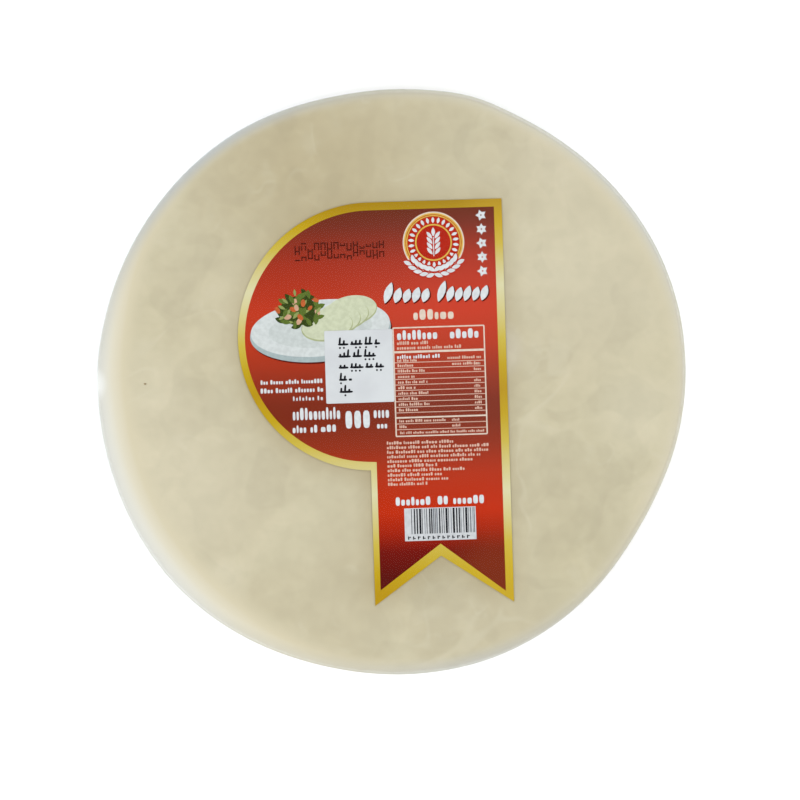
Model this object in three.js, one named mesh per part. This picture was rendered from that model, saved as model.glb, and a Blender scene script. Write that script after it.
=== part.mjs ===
// A stack of round rice paper sheets, sealed in clear shrink film, with a swallow-tailed
// paper label under its top and a small white sticker on the label.
// Millimetres, +Z up. The pack lies flat: the origin is the middle of its underside, the
// label faces up, and the label's top edge points to +Y.

import * as THREE from 'three';
import { mergeVertices } from 'three/addons/utils/BufferGeometryUtils.js';

// ---- Pack ----
const PACK_DIAMETER = 224; // 220 mm sheets, with the slip between them and the film
const SHEET_COUNT = 50;
const SHEET_PITCH = 0.28; // one dry sheet and the air that its waves hold
const PACK_HEIGHT = SHEET_COUNT * SHEET_PITCH;

// The outline is a little out of round: each swell (+) or flat (-) has its bearing,
// anticlockwise from +X, its rise in mm and its spread, both angles in degrees.
const OUT_OF_ROUND = [
  { at: 22, rise: 1.55, spread: 24 },
  { at: 74, rise: 1.0, spread: 6 },
  { at: 101, rise: -1.25, spread: 14 },
  { at: 150, rise: -0.25, spread: 22 },
  { at: 177, rise: 0.45, spread: 6 },
  { at: 223, rise: 1.05, spread: 19 },
  { at: 258, rise: -0.5, spread: 12 },
  { at: 292, rise: 0.55, spread: 14 },
  { at: 331, rise: -1.8, spread: 16 },
];

// Where the uneven outline is centred, so that its box is centred on the origin.
const OUTLINE_CENTRE = { x: -0.1, y: 0.3 };

// The stack leans: its upper sheets have slipped away from SLIP_BEARING, so the shoulder is
// broad on that side and the foot is broad on the other.
const SLIP_BEARING = 205;
const SHOULDER = { height: 6.0, width: 4.6, lean: 2.6 };
const FOOT = { height: 4.5, width: 3.4, lean: -1.6 };

// The sheets were packed in bundles, each slipped a little its own way.
const BUNDLE_COUNT = 5;
const BUNDLE_SLIP = 0.35;
const BUNDLE_TURN = 137.5; // degrees from one bundle's slip to the next

// Soft waves in the top face, outside the label, which lies flat.
const WAVE_DEPTH = 0.5;
const WAVE_LENGTHS = [94, 119];
const WAVE_BEARINGS = [31, 112];
const WAVE_START = 3; // distance from the label where the waves begin
const WAVE_FULL = 20; // distance from the label where they have their full depth

// ---- Label and sticker, in the label's own frame: origin at the centre of its round part ----
const LABEL_CENTRE = { x: -7.1, y: 17.2 };
const LABEL_TURN = 1.8; // degrees anticlockwise
const LABEL_RADIUS = 50.8; // also half of the square that its top right corner fills
const LABEL_THICKNESS = 0.2;
const TAIL_LEFT = -1.9;
const TAIL_TIP = -102.2;
const NOTCH = { x: 23.7, y: -83.9 };
const STICKER = { left: -18, right: 7.8, bottom: -25, top: 2.6, thickness: 0.12 };
const LAY_GAP = 0.05; // the film's thickness, left free under the label and under the sticker

// ---- Mesh density ----
const AROUND = 96;
const BOTTOM_RINGS = 4;
const FOOT_STEPS = 5;
const SIDE_STEPS = 4;
const SHOULDER_STEPS = 7;
const TOP_RINGS = 11;
const LABEL_ARC_STEPS = 48;

const radians = THREE.MathUtils.degToRad;
const smoothstep = THREE.MathUtils.smoothstep;

function degreesBetween(a, b) {
  return Math.abs(((a - b + 540) % 360) - 180);
}

function outlineRadius(bearing) {
  let radius = PACK_DIAMETER / 2;
  for (const { at, rise, spread } of OUT_OF_ROUND) {
    radius += rise * Math.exp(-((degreesBetween(bearing, at) / spread) ** 2));
  }
  return radius;
}

// How far a shoulder or foot reaches in from the outline at this bearing.
function edgeWidth(edge, bearing) {
  return edge.width + edge.lean * Math.cos(radians(bearing - SLIP_BEARING));
}

function bundleSlip(bearing, z) {
  const bundle = Math.min(BUNDLE_COUNT - 1, Math.floor((z / PACK_HEIGHT) * BUNDLE_COUNT));
  return BUNDLE_SLIP * Math.cos(radians(bearing - bundle * BUNDLE_TURN));
}

// Distance from a point to the label's outline, zero inside it; its round part is a circle
// and the rest a rectangle.
function distanceToLabel(x, y) {
  const point = new THREE.Vector2(x - LABEL_CENTRE.x, y - LABEL_CENTRE.y);
  point.rotateAround(new THREE.Vector2(0, 0), radians(-LABEL_TURN));
  const toRound = Math.max(0, point.length() - LABEL_RADIUS);
  const besides = Math.max(0, TAIL_LEFT - point.x, point.x - LABEL_RADIUS);
  const beyond = Math.max(0, TAIL_TIP - point.y, point.y - LABEL_RADIUS);
  return Math.min(toRound, Math.hypot(besides, beyond));
}

// How far the top face dips below the pack's full height, from 0 to WAVE_DEPTH.
function waveDip(x, y) {
  let swing = 0;
  for (const [i, length] of WAVE_LENGTHS.entries()) {
    const bearing = radians(WAVE_BEARINGS[i]);
    const along = x * Math.cos(bearing) + y * Math.sin(bearing);
    swing += Math.sin((2 * Math.PI * along) / length + i) / WAVE_LENGTHS.length;
  }
  const rise = smoothstep(distanceToLabel(x, y), WAVE_START, WAVE_FULL);
  return WAVE_DEPTH * rise * (0.5 + 0.5 * swing);
}

// The pack's half section from the middle of the underside, out round the edge, to the
// middle of the top. A station gives its share of the way out across a face, its height,
// and how much of the foot's and of the shoulder's width it stands in from the outline.
function sectionStations() {
  const stations = [];
  for (let i = 0; i < BOTTOM_RINGS; i += 1) {
    stations.push({ share: i / BOTTOM_RINGS, z: 0, foot: 1, shoulder: 0 });
  }
  for (let i = 0; i <= FOOT_STEPS; i += 1) {
    const angle = (Math.PI / 2) * (i / FOOT_STEPS);
    const z = FOOT.height * (1 - Math.cos(angle));
    stations.push({ share: 1, z, foot: 1 - Math.sin(angle), shoulder: 0 });
  }
  const sideTop = PACK_HEIGHT - SHOULDER.height;
  for (let i = 1; i < SIDE_STEPS; i += 1) {
    const z = THREE.MathUtils.lerp(FOOT.height, sideTop, i / SIDE_STEPS);
    stations.push({ share: 1, z, foot: 0, shoulder: 0 });
  }
  for (let i = 0; i <= SHOULDER_STEPS; i += 1) {
    const angle = (Math.PI / 2) * (i / SHOULDER_STEPS);
    const z = sideTop + SHOULDER.height * Math.sin(angle);
    stations.push({ share: 1, z, foot: 0, shoulder: 1 - Math.cos(angle) });
  }
  for (let i = TOP_RINGS - 1; i >= 0; i -= 1) {
    stations.push({ share: i / TOP_RINGS, z: PACK_HEIGHT, foot: 0, shoulder: 1 });
  }
  return stations;
}

function skinPoint(station, bearing) {
  const inset =
    station.foot * edgeWidth(FOOT, bearing) + station.shoulder * edgeWidth(SHOULDER, bearing);
  const loose = (1 - station.foot) * (1 - station.shoulder);
  const slip = loose * bundleSlip(bearing, station.z);
  const radius = station.share * (outlineRadius(bearing) - inset + slip);
  const x = OUTLINE_CENTRE.x + radius * Math.cos(radians(bearing));
  const y = OUTLINE_CENTRE.y + radius * Math.sin(radians(bearing));
  const dip = waveDip(x, y) * smoothstep(station.z / PACK_HEIGHT, 0.6, 1);
  return new THREE.Vector3(x, y, station.z - dip);
}

// A lathe gives the closed ring mesh; each of its points is then set on the pack's skin.
function wrappedSheetsGeometry() {
  const stations = sectionStations();
  const profile = stations.map(
    ({ share, z, foot, shoulder }) =>
      new THREE.Vector2(
        share * (PACK_DIAMETER / 2 - foot * FOOT.width - shoulder * SHOULDER.width),
        z,
      ),
  );
  const lathe = new THREE.LatheGeometry(profile, AROUND);
  lathe.rotateX(Math.PI / 2);
  const position = lathe.getAttribute('position');
  for (let index = 0; index < position.count; index += 1) {
    const turn = Math.floor(index / stations.length) % AROUND;
    const point = skinPoint(stations[index % stations.length], (360 * turn) / AROUND - 90);
    position.setXYZ(index, point.x, point.y, point.z);
  }
  lathe.deleteAttribute('normal');
  lathe.deleteAttribute('uv');
  const skin = mergeVertices(lathe);
  skin.computeVertexNormals();
  return skin;
}

// Round on the left, square at the top right, with a swallow-tailed ribbon down the right.
function labelGeometry() {
  const cornerAngle = -Math.acos(TAIL_LEFT / LABEL_RADIUS);
  const outline = new THREE.Shape();
  outline.moveTo(0, LABEL_RADIUS);
  outline.absarc(0, 0, LABEL_RADIUS, Math.PI / 2, cornerAngle, false);
  outline.lineTo(TAIL_LEFT, TAIL_TIP);
  outline.lineTo(NOTCH.x, NOTCH.y);
  outline.lineTo(LABEL_RADIUS, TAIL_TIP);
  outline.lineTo(LABEL_RADIUS, LABEL_RADIUS);
  outline.closePath();
  return new THREE.ExtrudeGeometry(outline, {
    depth: LABEL_THICKNESS,
    bevelEnabled: false,
    curveSegments: LABEL_ARC_STEPS,
  });
}

function stickerGeometry() {
  const width = STICKER.right - STICKER.left;
  const height = STICKER.top - STICKER.bottom;
  const plate = new THREE.BoxGeometry(width, height, STICKER.thickness);
  return plate.translate(
    (STICKER.left + STICKER.right) / 2,
    (STICKER.bottom + STICKER.top) / 2,
    STICKER.thickness / 2,
  );
}

function piece(name, geometry, finish) {
  const mesh = new THREE.Mesh(geometry, new THREE.MeshStandardMaterial(finish));
  mesh.name = name;
  return mesh;
}

const wrappedSheets = piece('wrapped_sheets', wrappedSheetsGeometry(), {
  color: 0xcec6ac,
  roughness: 0.35,
  metalness: 0,
});

const label = piece('label', labelGeometry(), {
  color: 0xa93a24,
  roughness: 0.4,
  metalness: 0,
});

const sticker = piece('sticker', stickerGeometry(), {
  color: 0xd6dde2,
  roughness: 0.6,
  metalness: 0,
});
sticker.position.z = LABEL_THICKNESS + LAY_GAP;

const labelPlace = new THREE.Group();
labelPlace.position.set(LABEL_CENTRE.x, LABEL_CENTRE.y, PACK_HEIGHT + LAY_GAP);
labelPlace.rotation.z = radians(LABEL_TURN);
labelPlace.add(label, sticker);

const pack = new THREE.Group();
pack.add(wrappedSheets, labelPlace);

export default pack;
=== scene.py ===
"""A sealed stack of round dry rice paper sheets, with a printed label under its film.

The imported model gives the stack's form and the places of the label and the sticker. This
script replaces the solid stack by its sheets and their clear film, prints the label, and
sets the pack in a plain studio. Lengths are in metres, and MM turns millimetres into them;
patches of colour, gradients and print are laid out in millimetres.
"""

import logging
import math
import random
from collections.abc import Callable, Iterator, Sequence
from contextlib import contextmanager
from dataclasses import dataclass, field
from enum import Enum
from typing import NamedTuple

import bmesh
import bpy
import numpy as np
from bpy.types import ID, Material, Node, NodeSocket, Object
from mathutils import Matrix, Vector, noise
from mathutils.bvhtree import BVHTree


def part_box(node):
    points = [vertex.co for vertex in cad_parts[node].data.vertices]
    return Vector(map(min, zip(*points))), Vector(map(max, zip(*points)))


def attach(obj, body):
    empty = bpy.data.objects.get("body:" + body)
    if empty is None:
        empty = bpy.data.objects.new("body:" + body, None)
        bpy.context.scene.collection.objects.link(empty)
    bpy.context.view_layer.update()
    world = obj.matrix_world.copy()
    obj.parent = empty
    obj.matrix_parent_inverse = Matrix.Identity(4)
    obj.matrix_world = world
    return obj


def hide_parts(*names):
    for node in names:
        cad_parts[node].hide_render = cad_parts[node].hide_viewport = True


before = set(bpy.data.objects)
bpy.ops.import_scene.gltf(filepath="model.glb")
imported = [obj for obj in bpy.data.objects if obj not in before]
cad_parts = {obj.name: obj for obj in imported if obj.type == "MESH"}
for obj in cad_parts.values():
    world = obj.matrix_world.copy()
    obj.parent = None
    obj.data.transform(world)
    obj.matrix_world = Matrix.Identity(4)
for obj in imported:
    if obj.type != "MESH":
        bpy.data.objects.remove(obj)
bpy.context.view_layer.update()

MM = 0.001
WELD = 0.001 * MM  # corners of faces this close together become one
LIGHT_LEVEL = 1.45  # how much brighter a level white surface is lit than it shows
SHEEN = 0.0055  # the light that gloss and film add to every colour
DARKEST = 0.001  # the least light that a colour is taken to show without them
GOLDEN_ANGLE = 137.5  # degrees from one point of an even spiral to the next
STAGGER = 6  # overlapping marks of one print stand at this many slightly different heights
log = logging.getLogger("rice_paper")

Colour = tuple[float, float, float, float]
Shown = tuple[float, float, float]  # red, green and blue as they show, from 0 to 255
Pair = tuple[float, float]


def tone(red: float, green: float, blue: float) -> Colour:
    """Gives the surface colour that shows as a screen colour, 0 to 255, in the studio."""
    shown = [((channel / 255 + 0.055) / 1.055) ** 2.4 for channel in (red, green, blue)]
    return (*(max(DARKEST, level - SHEEN) / LIGHT_LEVEL for level in shown), 1.0)


def smooth(value: np.ndarray, start: float, end: np.ndarray | float) -> np.ndarray:
    """Rises smoothly from 0 at start to 1 at end."""
    share = np.clip((value - start) / (end - start), 0, 1)
    return share * share * (3 - 2 * share)


@dataclass(frozen=True)
class Swell:
    """A number that grows towards one bearing."""

    bearing: float  # degrees
    spread: float  # degrees
    height: float = 1.0
    power: int = 2  # how square its shoulders are, an even number

    def over(self, bearings: np.ndarray) -> np.ndarray:
        """Gives its height at each bearing, which are in radians."""
        off = (np.degrees(bearings) - self.bearing + 180) % 360 - 180
        return self.height * np.exp(-((off / self.spread) ** self.power))


def swollen(level: float, swells: Sequence[Swell], bearings: np.ndarray) -> np.ndarray:
    """Adds swells to a level; the bearings are in radians."""
    return level + sum(swell.over(bearings) for swell in swells)


# ---- Modelling ----


class Bench:
    """Blender's modelling tools, used on one piece at a time."""

    @staticmethod
    def clear() -> None:
        """Leaves nothing selected, so that an operator acts on the new piece alone."""
        bpy.ops.object.select_all(action="DESELECT")

    @staticmethod
    def take(piece: Object) -> None:
        """Makes a piece the active and only selected one.

        Args:
            piece: The piece to work on.
        """
        Bench.clear()
        piece.select_set(True)
        bpy.context.view_layer.objects.active = piece

    @staticmethod
    def added(name: str) -> Object:
        """Names the primitive that was just added and applies its place.

        Args:
            name: The piece's name.

        Returns:
            The piece, with its object at the origin.
        """
        piece = bpy.context.object
        piece.name = name
        bpy.ops.object.transform_apply(location=True, rotation=True, scale=True)
        return piece

    @staticmethod
    def linked(name: str, data: ID) -> Object:
        """Puts a new object in the scene.

        Args:
            name: The object's name.
            data: Its mesh, lamp or camera.

        Returns:
            The object.
        """
        made = bpy.data.objects.new(name, data)
        bpy.context.scene.collection.objects.link(made)
        return made

    @staticmethod
    def copied(source: Object, name: str) -> Object:
        """Copies an object's mesh into a new piece.

        Args:
            source: The object to copy.
            name: The new piece's name.

        Returns:
            The new piece, with a mesh of its own.
        """
        piece = Bench.linked(name, source.data.copy())
        piece.data.materials.clear()
        return piece

    @staticmethod
    @contextmanager
    def editing(piece: Object, mode: str) -> Iterator[bmesh.types.BMesh]:
        """Opens a piece in edit mode with all of it selected.

        Args:
            piece: The piece to edit.
            mode: What is selected: VERT, EDGE or FACE.

        Yields:
            The mesh being edited.
        """
        Bench.take(piece)
        bpy.ops.object.mode_set(mode="EDIT")
        bpy.ops.mesh.select_mode(type=mode)
        bpy.ops.mesh.select_all(action="SELECT")
        yield bmesh.from_edit_mesh(piece.data)
        bpy.ops.object.mode_set(mode="OBJECT")

    @staticmethod
    def pick(parts: Sequence, test: Callable[..., bool]) -> None:
        """Selects the vertices, edges or faces that pass a test, and no others.

        Args:
            parts: The mesh's vertices, edges or faces.
            test: Says whether one of them is selected.
        """
        bpy.ops.mesh.select_all(action="DESELECT")
        for part in parts:
            part.select_set(test(part))

    @staticmethod
    def modify(piece: Object, kind: str, **settings: object) -> None:
        """Adds a modifier to a piece and applies it.

        Args:
            piece: The piece to change.
            kind: The modifier's type.
            **settings: The modifier's settings.
        """
        Bench.take(piece)
        modifier = piece.modifiers.new(kind, kind)
        for key, value in settings.items():
            setattr(modifier, key, value)
        bpy.ops.object.modifier_apply(modifier=modifier.name)

    @staticmethod
    def points(piece: Object) -> np.ndarray:
        """Reads a piece's vertices.

        Args:
            piece: The piece.

        Returns:
            Its vertices, one row each.
        """
        co = np.empty(len(piece.data.vertices) * 3)
        piece.data.vertices.foreach_get("co", co)
        return co.reshape(-1, 3)

    @staticmethod
    def move(piece: Object, points: np.ndarray) -> None:
        """Puts a piece's vertices at new places, one row each."""
        piece.data.vertices.foreach_set("co", points.ravel())
        piece.data.update()

    @staticmethod
    def mark(piece: Object, name: str, values: np.ndarray) -> None:
        """Stores a number on each vertex, for a material to read."""
        attribute = piece.data.attributes.new(name, "FLOAT", "POINT")
        attribute.data.foreach_set("value", values.astype(np.float32))


def dress(piece: Object, material: Material, slot: str, *nodes: str) -> None:
    """Gives a finished piece its material and its place in the part.

    Args:
        piece: The finished piece.
        material: Its material.
        slot: The record's material slot; not used.
        *nodes: The CAD nodes that it stands for.
    """
    piece.data.materials.clear()
    piece.data.materials.append(material)
    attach(piece, "root")
    if nodes:
        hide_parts(*nodes)
    log.info("%s: %d faces", piece.name, len(piece.data.polygons))


# ---- Finishes ----


@dataclass(frozen=True)
class Patch:
    """A soft round patch of another colour, laid out in millimetres."""

    at: Pair
    reach: Pair  # how far from there it starts to fade, and where it ends
    share: float  # how much of its colour shows in its middle
    shown: Shown


class Graph:
    """One material's nodes, put together by short methods."""

    shine = 0.04  # how strongly an opaque surface mirrors, on the shader's scale

    def __init__(self, name: str) -> None:
        """Starts an empty material.

        Args:
            name: The material's name.
        """
        self.material = bpy.data.materials.new(name)
        self.material.use_nodes = True
        self.tree = self.material.node_tree
        self.tree.nodes.clear()

    def add(self, kind: str, inputs: dict, **settings: object) -> Node:
        """Adds a node.

        Args:
            kind: The node's type, without ShaderNode before it.
            inputs: A value or another node's output for each named or numbered socket.
            **settings: The node's own settings.

        Returns:
            The new node.
        """
        made = self.tree.nodes.new("ShaderNode" + kind)
        for key, value in settings.items():
            setattr(made, key, value)
        for key, value in inputs.items():
            if isinstance(value, NodeSocket):
                self.tree.links.new(value, made.inputs[key])
            else:
                made.inputs[key].default_value = value
        return made

    def place(self) -> NodeSocket:
        """Gives the point in the pack's frame."""
        return self.add("TexCoord", {}).outputs["Object"]

    def attribute(self, name: str) -> NodeSocket:
        """Gives a number that the mesh carries."""
        return self.add("Attribute", {}, attribute_name=name).outputs["Fac"]

    def cloud(self, scale: float, detail: float = 2, **more: float) -> NodeSocket:
        """Gives soft noise from 0 to 1, with so many clouds a metre and finer layers."""
        inputs = {"Vector": self.place(), "Scale": scale, "Detail": detail, **more}
        return self.add("TexNoise", inputs).outputs[0]

    def span(self, value: NodeSocket, start: Pair, end: Pair = (0.0, 1.0)) -> NodeSocket:
        """Stretches one range of a number smoothly over another."""
        inputs = {0: value, 1: start[0], 2: start[1], 3: end[0], 4: end[1]}
        return self.add("MapRange", inputs, interpolation_type="SMOOTHSTEP").outputs[0]

    def uneven(self, value: NodeSocket, end: Pair = (0.0, 1.0)) -> NodeSocket:
        """Stretches the middle of soft noise over a range."""
        return self.span(value, (0.3, 0.7), end)

    def math(self, operation: str, *values: object) -> NodeSocket:
        """Works out one number from others."""
        return self.add("Math", dict(enumerate(values)), operation=operation).outputs[0]

    def vector(self, operation: str, inputs: dict, output: int | str = 0) -> NodeSocket:
        """Works out a colour, a place or a distance from others."""
        return self.add("VectorMath", inputs, operation=operation).outputs[output]

    def mix(self, share: object, first: object, second: object) -> NodeSocket:
        """Mixes two colours; the share is how much of the second shows."""
        inputs = {0: share, 6: first, 7: second}
        return self.add("Mix", inputs, data_type="RGBA").outputs[2]

    def patched(self, colour: object, patches: Sequence[Patch], point: NodeSocket) -> NodeSocket:
        """Lays soft patches of other colours over a colour.

        Args:
            colour: A colour or an output.
            patches: The patches, from the lowest up.
            point: The point that is coloured, in the frame of the patches' places.

        Returns:
            The new colour.
        """
        flat = self.vector("MULTIPLY", {0: point, 1: (1.0, 1.0, 0.0)})
        for patch in patches:
            middle = (patch.at[0] * MM, patch.at[1] * MM, 0.0)
            away = self.vector("DISTANCE", {0: flat, 1: middle}, "Value")
            reach = (patch.reach[0] * MM, patch.reach[1] * MM)
            share = self.span(away, reach, (patch.share, 0.0))
            colour = self.mix(share, colour, tone(*patch.shown))
        return colour

    def ramp(self, value: NodeSocket, stops: Sequence[tuple[float, Colour]]) -> NodeSocket:
        """Turns a number from 0 to 1 into a colour.

        Args:
            value: The number.
            stops: Places on the ramp, and their colours, from 0 upwards.

        Returns:
            The colour.
        """
        made = self.add("ValToRGB", {0: value})
        elements = made.color_ramp.elements
        for index, (position, colour) in enumerate(stops):
            stop = elements[index] if index < 2 else elements.new(position)
            stop.position = position
            stop.color = colour
        return made.outputs["Color"]

    def bump(self, height: NodeSocket, distance: float) -> NodeSocket:
        """Turns a height from 0 to 1 into relief; the distance is how tall 1 stands."""
        inputs = {"Height": height, "Strength": 1.0, "Distance": distance}
        return self.add("Bump", inputs).outputs[0]

    def done(self, shader: Node) -> Material:
        """Joins the last shader to the output."""
        self.add("OutputMaterial", {"Surface": shader.outputs[0]})
        return self.material

    def surface(self, colour: object, roughness: object, normal: NodeSocket) -> Material:
        """Finishes an opaque material.

        Args:
            colour: A colour or an output.
            roughness: A number or an output.
            normal: The relief.

        Returns:
            The finished material.
        """
        inputs = {"Base Color": colour, "Roughness": roughness, "Normal": normal}
        inputs["Specular IOR Level"] = self.shine
        return self.done(self.add("BsdfPrincipled", inputs))


@dataclass(frozen=True)
class RicePaper:
    """Dry rice paper: a waxy cream sheet, cloudy inside, paler at its cut edge; its colour also holds
    painted light, shade and reflections.
    """

    body: Colour = tone(206, 198, 168)
    dull: Colour = tone(201, 192, 162)
    milky: Colour = tone(214, 207, 184)
    crease: Colour = tone(219, 211, 185)
    shaded: Colour = tone(172, 157, 122)
    peach: Colour = tone(219, 209, 180)
    pale: Colour = tone(227, 220, 198)
    rim: Colour = tone(231, 229, 218)
    # painted reflection of the film at the rim, bluish grey, and painted shade where the rim is darker
    painted_reflection_and_shade: Colour = tone(190, 199, 208)
    warmth: tuple[float, float, float] = (1.0065, 0.995, 1.0045)
    # soft patches of uneven tone, and among them painted light and shade
    patches: tuple[Patch, ...] = (
        # painted shade: darker towards the upper left
        Patch((-27, 77), (8, 64), 0.85, (190, 178, 144)),
        # painted light: lighter towards the lower left
        Patch((-86, -42), (8, 58), 0.9, (213, 205, 177)),
        Patch((-73, 31), (4, 37), 0.55, (199, 190, 160)),
        # painted light: lighter towards the upper right
        Patch((78, 46), (8, 60), 0.8, (212, 204, 176)),
        Patch((66, 91), (3, 33), 0.47, (217, 209, 183)),
        Patch((64, -36), (8, 44), 0.42, (195, 187, 157)),
        # painted shadow beside the label's tail
        Patch((-10, -74), (2, 17), 0.4, (187, 177, 146)),
        # painted shade in the label's notch
        Patch((12, -74), (3, 18), 0.55, (185, 176, 146)),
        # painted sheen of the film beside the label's right edge
        Patch((39, 12), (6, 14), 0.6, (222, 216, 198)),
        Patch((69, -69), (5, 28), 0.35, (190, 182, 150)),
        Patch((94, -11), (4, 22), 0.35, (226, 219, 192)),
        Patch((-93, -2), (4, 22), 0.3, (226, 219, 192)),
        Patch((-63, -75), (2, 12), 0.35, (226, 219, 192)),
    )
    glint: Patch = Patch((-116, -1), (4.6, 9.2), 0.9, (255, 255, 250))
    film_spots: tuple[Pair, ...] = ((23, 0.03), (37, -0.035), (51, 0.025))  # clouds, lighter
    folds: tuple[tuple[float, float, float], ...] = (  # clouds, width and strength of a crease
        (19, 0.016, 0.3),
        (43, 0.03, 0.18),
    )
    relief: float = 0.05 * MM

    def make(self) -> Material:
        """Builds the material.

        Returns:
            The material.
        """
        graph = Graph("rice_paper")
        soft, grain = graph.cloud(62, 3, Distortion=0.4), graph.cloud(1400, 2)
        line = self.creases(graph)
        colour = graph.mix(line, self.cloudy(graph, soft), self.crease)
        rim = graph.attribute("rim")
        stops = ((0.0, self.peach), (0.45, self.peach), (0.75, self.pale), (1.0, self.rim))
        colour = graph.mix(graph.span(rim, (0.0, 0.55)), colour, graph.ramp(rim, stops))
        colour = graph.mix(graph.attribute("painted_reflection_and_shade"), colour, self.painted_reflection_and_shade)
        colour = graph.patched(colour, (self.glint,), graph.place())
        colour = graph.mix(graph.attribute("shade"), colour, self.shaded)
        height = graph.math("ADD", graph.math("MULTIPLY", grain, 0.3), soft)
        height = graph.math("ADD", height, line)
        roughness = graph.uneven(grain, (0.42, 0.56))
        return graph.surface(colour, roughness, graph.bump(height, self.relief))

    def cloudy(self, graph: Graph, soft: NodeSocket) -> NodeSocket:
        """Colours the flat of a sheet, with clouds of several sizes and soft patches; some patches are
        painted light and shade.

        Args:
            graph: The material's nodes.
            soft: The soft clouds inside the paper, from 0 to 1.

        Returns:
            The colour.
        """
        broad = graph.span(graph.cloud(17, 2, Distortion=0.6), (0.36, 0.64))
        colour = graph.mix(broad, self.dull, self.body)
        colour = graph.patched(colour, self.patches, graph.place())
        colour = graph.vector("MULTIPLY", {0: colour, 1: self.warmth})
        colour = graph.mix(graph.span(soft, (0.54, 0.8), (0.0, 0.2)), colour, self.milky)
        light = graph.span(soft, (0.35, 0.68), (0.975, 1.02))
        fine = graph.span(graph.cloud(210, 2), (0.35, 0.66), (-0.016, 0.016))
        light = graph.math("ADD", light, fine)
        for clouds, lighter in self.film_spots:
            spot = graph.span(graph.cloud(clouds, 1.5, Distortion=0.9), (0.57, 0.6), (0.0, lighter))
            light = graph.math("ADD", light, spot)
        return graph.vector("SCALE", {0: colour, "Scale": light})

    def creases(self, graph: Graph) -> NodeSocket:
        """Draws soft curling lines where the sheets have creased as they dried.

        Args:
            graph: The material's nodes.

        Returns:
            How much of the crease's colour shows.
        """
        lines = []
        for clouds, width, most in self.folds:
            swirl = graph.cloud(clouds, 1.5, Distortion=1.4)
            fold = graph.math("ABSOLUTE", graph.math("SUBTRACT", swirl, 0.5))
            line = graph.span(fold, (0.0, width), (1.0, 0.0))
            where = graph.span(graph.cloud(clouds * 1.4, 1), (0.54, 0.7), (0.0, most))
            lines.append(graph.math("MULTIPLY", line, where))
        return graph.math("ADD", *lines)


@dataclass(frozen=True)
class ClearFilm:
    """Thin shrink film: clear, glossy and faintly uneven."""

    clear: Colour = (0.985, 0.99, 0.995, 1.0)
    gloss: Colour = (0.93, 0.97, 1.0, 1.0)
    face_on: float = 0.004  # the share of light that it mirrors straight on
    edge_on: float = 0.5  # the same at its outermost edge
    falloff: float = 4.0  # how fast it drops between the two
    relief: float = 0.35 * MM

    def make(self) -> Material:
        """Builds the material.

        Returns:
            The material.
        """
        graph = Graph("clear_film")
        fine_ripple = graph.math("MULTIPLY", graph.cloud(160, 2), 0.12)
        normal = graph.bump(graph.math("ADD", graph.cloud(34, 2), fine_ripple), self.relief)
        roughness = graph.uneven(graph.cloud(48, 2), (0.16, 0.26))
        facing = graph.add("LayerWeight", {"Blend": 0.5, "Normal": normal}).outputs["Facing"]
        share = graph.math("MULTIPLY", graph.math("POWER", facing, self.falloff), self.edge_on)
        share = graph.math("ADD", share, self.face_on)
        through = graph.add("BsdfTransparent", {"Color": self.clear})
        glossy = {"Color": self.gloss, "Roughness": roughness, "Normal": normal}
        shine = graph.add("BsdfAnisotropic", glossy)
        both = {0: share, 1: through.outputs[0], 2: shine.outputs[0]}
        return graph.done(graph.add("MixShader", both))


@dataclass(frozen=True)
class PrintedGradient:
    """Glossy print that shades from band to band up the label, on white paper, with soft patches over
    it; some of them are painted sheen.
    """

    name: str
    bands: tuple[tuple[float, Shown], ...]  # height on the label, and the colour there
    patches: tuple[Patch, ...]
    paper: Colour = tone(226, 226, 220)
    printed_depth: Pair = (0.02 * MM, 0.01 * MM)  # below the label's top, print gives way to paper

    def make(self, place: "LabelPlace") -> Material:
        """Builds the material.

        Args:
            place: Where the label lies.

        Returns:
            The material.
        """
        graph = Graph(self.name)
        turned = {
            "Vector": graph.place(),
            "Location": (*place.centre, 0.0),
            "Rotation": (0.0, 0.0, place.turn),
        }
        own = graph.add("Mapping", turned, vector_type="TEXTURE").outputs[0]
        up = graph.add("SeparateXYZ", {0: own}).outputs[1]
        low, high = self.bands[0][0], self.bands[-1][0]
        share = graph.add("MapRange", {0: up, 1: low * MM, 2: high * MM}).outputs[0]
        stops = [((height - low) / (high - low), tone(*shown)) for height, shown in self.bands]
        print_and_sheen = graph.patched(graph.ramp(share, stops), self.patches, own)
        speckle = graph.uneven(graph.cloud(1300, 2), (0.0, 0.003))
        print_and_sheen = graph.mix(speckle, print_and_sheen, self.paper)
        level = graph.add("SeparateXYZ", {0: graph.place()}).outputs[2]
        on_top = graph.span(level, tuple(place.top - depth for depth in self.printed_depth))
        colour = graph.mix(on_top, self.paper, print_and_sheen)
        normal = graph.bump(graph.cloud(700, 2), 0.01 * MM)
        roughness = graph.uneven(graph.cloud(60, 2), (0.34, 0.44))
        return graph.surface(colour, roughness, normal)


GOLD_PRINT = PrintedGradient(
    "gold_print",
    (
        (-98, (186, 148, 28)),
        (-90, (195, 163, 34)),
        (-79, (206, 184, 76)),
        (-60, (222, 216, 172)),
        (-41, (206, 184, 76)),
        (-31, (195, 163, 34)),
        (-21, (186, 148, 28)),
        (-12, (195, 163, 34)),
        (-2, (206, 184, 76)),
        (18, (222, 216, 172)),
        (34, (206, 184, 76)),
        (42, (195, 163, 34)),
        (50, (171, 135, 28)),
    ),
    (
        # painted sheen: lighter at the tail's lower right
        Patch((46, -94), (5, 25), 0.5, (214, 186, 60)),
        Patch((50, 45), (4, 20), 0.3, (214, 176, 60)),
        # painted sheen of the film: a faint white over the right side
        Patch((50, -10), (30, 95), 0.018, (226, 226, 220)),
    ),
)

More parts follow.
